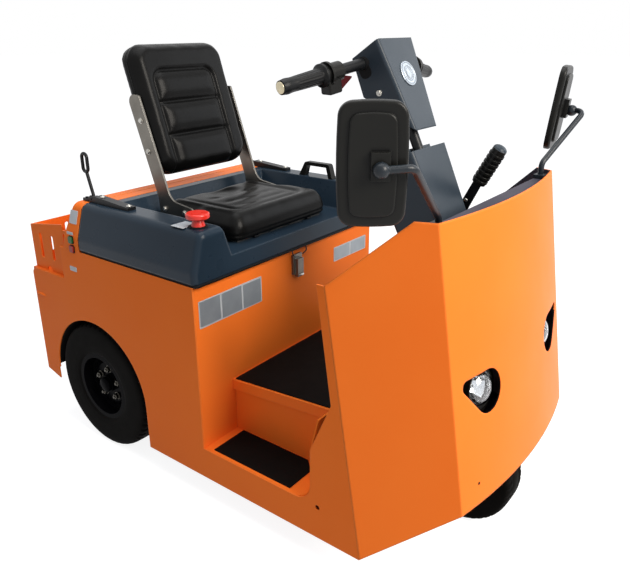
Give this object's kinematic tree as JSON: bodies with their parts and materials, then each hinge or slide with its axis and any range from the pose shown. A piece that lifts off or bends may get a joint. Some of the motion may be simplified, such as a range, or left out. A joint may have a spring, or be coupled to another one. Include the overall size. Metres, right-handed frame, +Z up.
{
  "type": "three-wheel airport baggage tug",
  "caption": "Small sit-on electric tow tractor with step-through floor, raked front apron, seat on a hinged hood, leaning handlebar steering and rear coupling.",
  "frame": {"origin": "on the ground, at the bottom centre of the machine's box", "axes": "+X forward, +Y to the driver's left, +Z up"},
  "size_m": [1.6363, 1.0319, 1.2421],
  "materials": {
    "orange_paint": "gloss powder coat",
    "black_paint": "satin black",
    "tyre": "moulded rubber",
    "cover_moulding": "fine grained moulding",
    "column_paint": "satin grey",
    "liner": "matt dark",
    "bare_steel": "zinc plated",
    "vinyl": "black seat vinyl",
    "rubber": "black rubber",
    "black_plastic": "moulded black",
    "red_plastic": "gloss red",
    "mirror_glass": "silvered",
    "lamp": "reflector and clear lens",
    "battery_case": "moulded",
    "cast": "painted casting"
  },
  "bodies": {
    "chassis": {"side_panel_left": "orange_paint", "side_panel_right": "orange_paint", "apron": "orange_paint", "dash_panel": "liner", "front_deck": "orange_paint", "box_front_wall": "orange_paint", "floor_pan": "orange_paint", "steps": "orange_paint", "floor_mats": "rubber", "rear_panel": "orange_paint", "rear_bulkhead": "orange_paint", "rear_guard": "orange_paint", "wheel_houses": "orange_paint", "battery_tray": "black_paint", "battery": "battery_case", "rear_axle": "cast", "column_cover": "column_paint", "hinge_bases": "black_paint", "draw_latch": "bare_steel", "inching_buttons": "red_plastic", "mirror_arms": "black_paint", "mirror_housings": "black_plastic", "mirror_glasses": "mirror_glass", "headlamps": "black_plastic", "headlamp_lenses": "lamp", "parking_lever": "black_paint", "parking_lever_grip": "black_plastic", "tow_coupling": "cast", "coupling_pin": "bare_steel", "release_rod": "black_paint", "brake_pedal": "black_paint"},
    "rear_wheel_right": {"rear_tyre_right": "tyre", "rear_rim_right": "black_paint"},
    "rear_wheel_left": {"rear_tyre_left": "tyre", "rear_rim_left": "black_paint"},
    "front_fork": {"front_fork": "black_paint"},
    "front_wheel": {"front_tyre": "tyre", "front_rim": "black_paint"},
    "steering_head": {"steering_shaft": "bare_steel", "steering_head": "column_paint", "handlebar": "black_paint", "handlebar_grips": "rubber", "switch_blocks": "black_plastic"},
    "hood": {"hood": "cover_moulding", "hinge_straps": "black_paint", "seat_frame": "bare_steel", "seat_cushion": "vinyl", "seat_backrest": "vinyl", "emergency_stop": "red_plastic", "grab_handle": "black_plastic"}
  },
  "joints": [
    {"name": "rear_wheel_right_spin", "type": "hinge", "parent": "chassis", "child": "rear_wheel_right", "pos_m": [-0.4082, -0.355, 0.2075], "axis": [0, 1, 0], "continuous": true},
    {"name": "rear_wheel_left_spin", "type": "hinge", "parent": "chassis", "child": "rear_wheel_left", "pos_m": [-0.4082, 0.355, 0.2075], "axis": [0, 1, 0], "continuous": true},
    {"name": "fork_steer", "type": "hinge", "parent": "chassis", "child": "front_fork", "pos_m": [0.6468, 0, 0.33], "axis": [0, 0, 1], "range_deg": [-60, 60]},
    {"name": "front_wheel_spin", "type": "hinge", "parent": "front_fork", "child": "front_wheel", "pos_m": [0.6468, 0, 0.145], "axis": [0, 1, 0], "continuous": true},
    {"name": "handlebar_steer", "type": "hinge", "parent": "chassis", "child": "steering_head", "pos_m": [0.37969, 0, 1.14], "axis": [-0.4305, 0, 0.9026], "range_deg": [-60, 60]},
    {"name": "hood_hinge", "type": "hinge", "parent": "chassis", "child": "hood", "pos_m": [-0.4262, 0, 0.798], "axis": [0, -1, 0], "range_deg": [0, 70]}
  ],
  "couplings": [
    {"joint": "handlebar_steer", "follows": "fork_steer", "ratio": 1}
  ]
}
